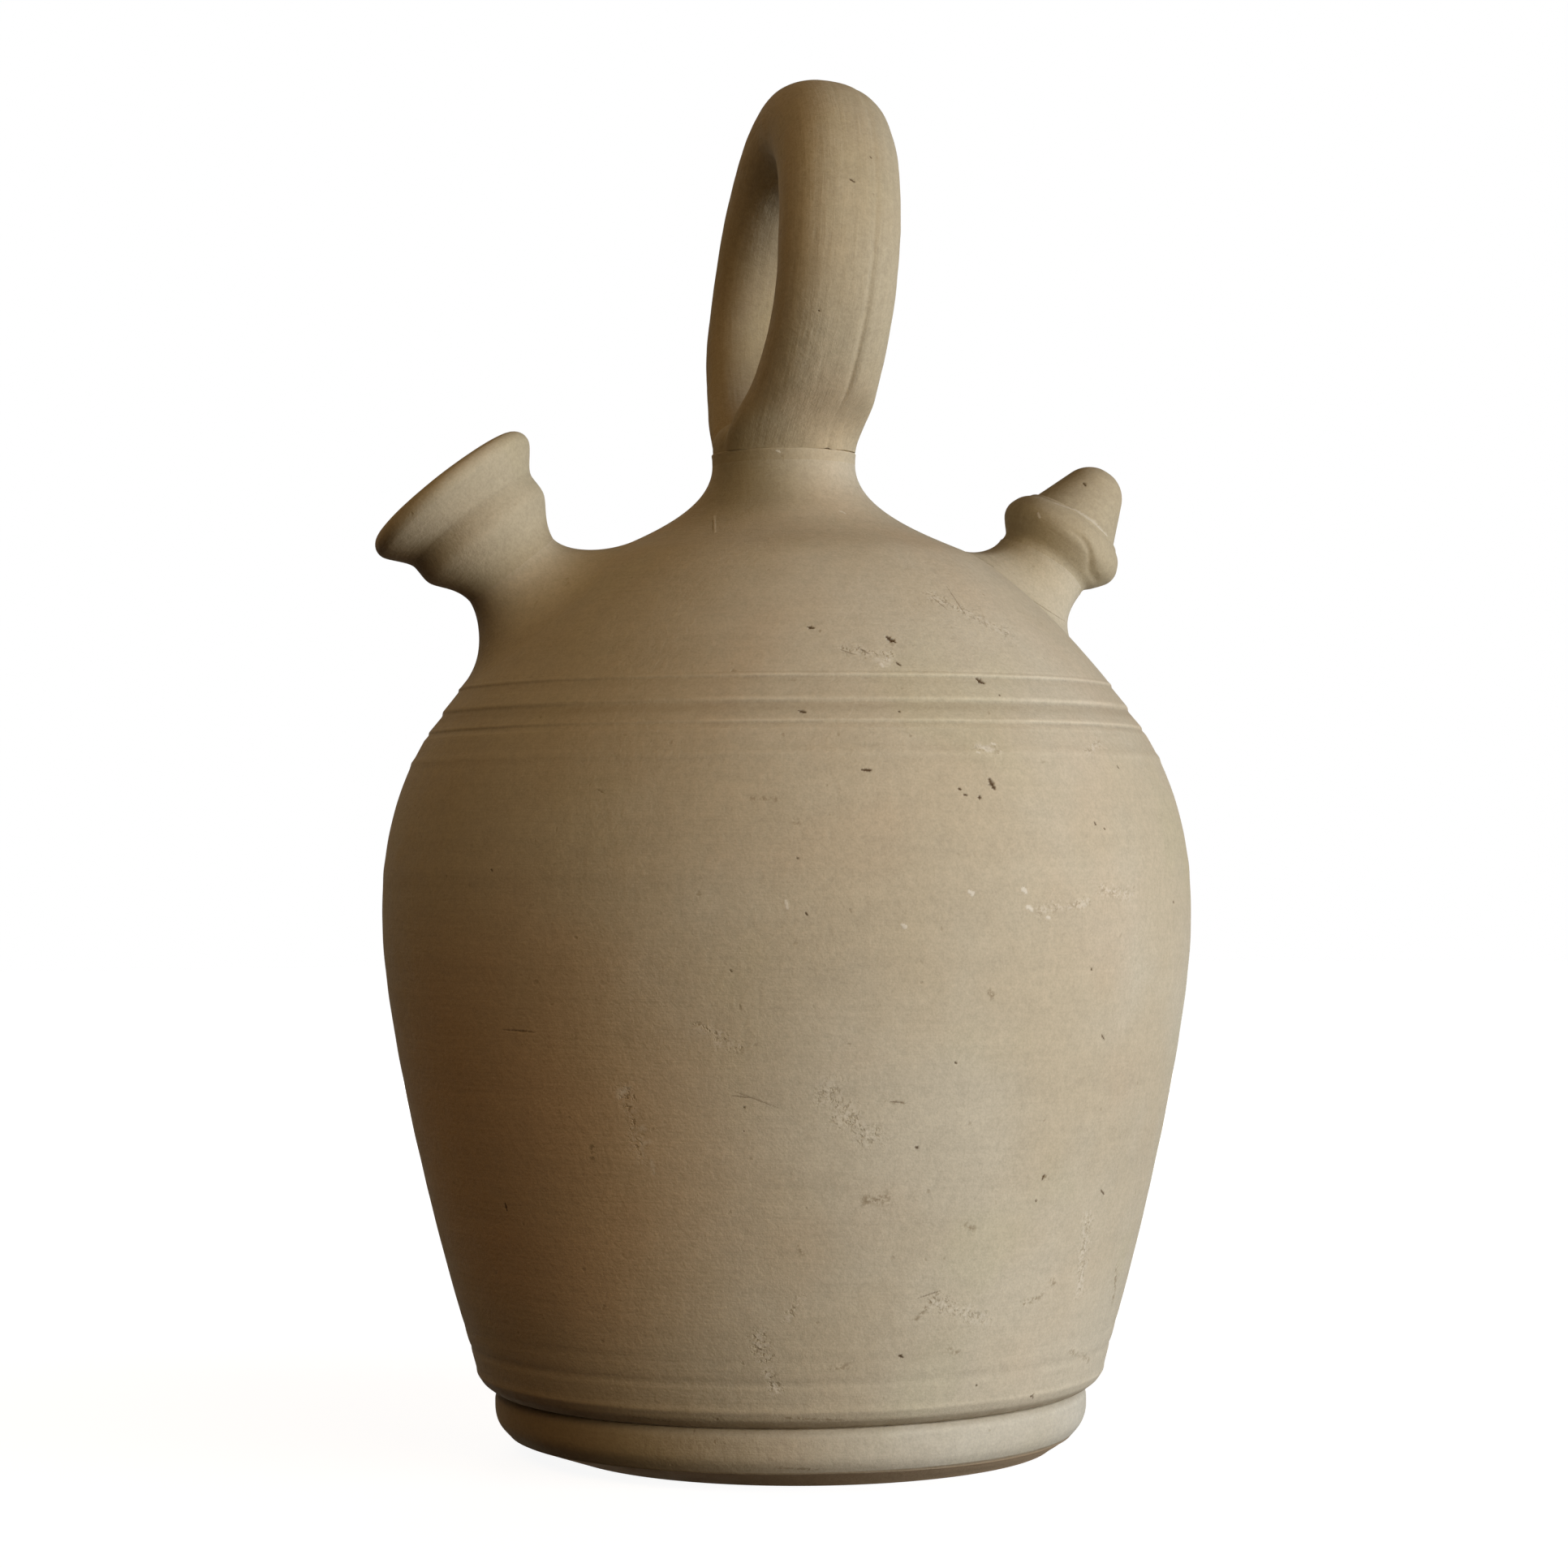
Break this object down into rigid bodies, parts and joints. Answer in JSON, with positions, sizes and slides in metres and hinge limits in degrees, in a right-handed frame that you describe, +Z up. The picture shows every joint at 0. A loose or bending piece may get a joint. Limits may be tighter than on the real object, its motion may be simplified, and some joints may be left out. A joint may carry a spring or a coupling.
{
  "type": "spouted water jug",
  "caption": "Closed unglazed clay water jug with a flared filling mouth, a flanged drinking spout and a ring handle on its neck, cooling water by seeping through its wall.",
  "frame": {"origin": "centre of the flat sole, on the surface that the jug stands on", "axes": "+Z up along the body's axis; the filling mouth leans to -X and the drinking spout to +X; the handle ring lies across them, along Y"},
  "size_m": [0.2133, 0.212, 0.3595],
  "materials": {
    "clay_body": "matte",
    "clay_foot": "matte",
    "clay_handle": "matte",
    "clay_luting": "matte"
  },
  "bodies": {
    "root": {"foot_base": "clay_foot", "belly_wall": "clay_body", "shoulder_band": "clay_body", "shoulder_dome": "clay_body", "handle_pad": "clay_luting", "handle_loop": "clay_handle", "mouth_coil": "clay_luting", "filling_mouth": "clay_body", "spout_coil": "clay_luting", "spout_collar": "clay_body", "spout_nozzle": "clay_body"}
  },
  "joints": []
}
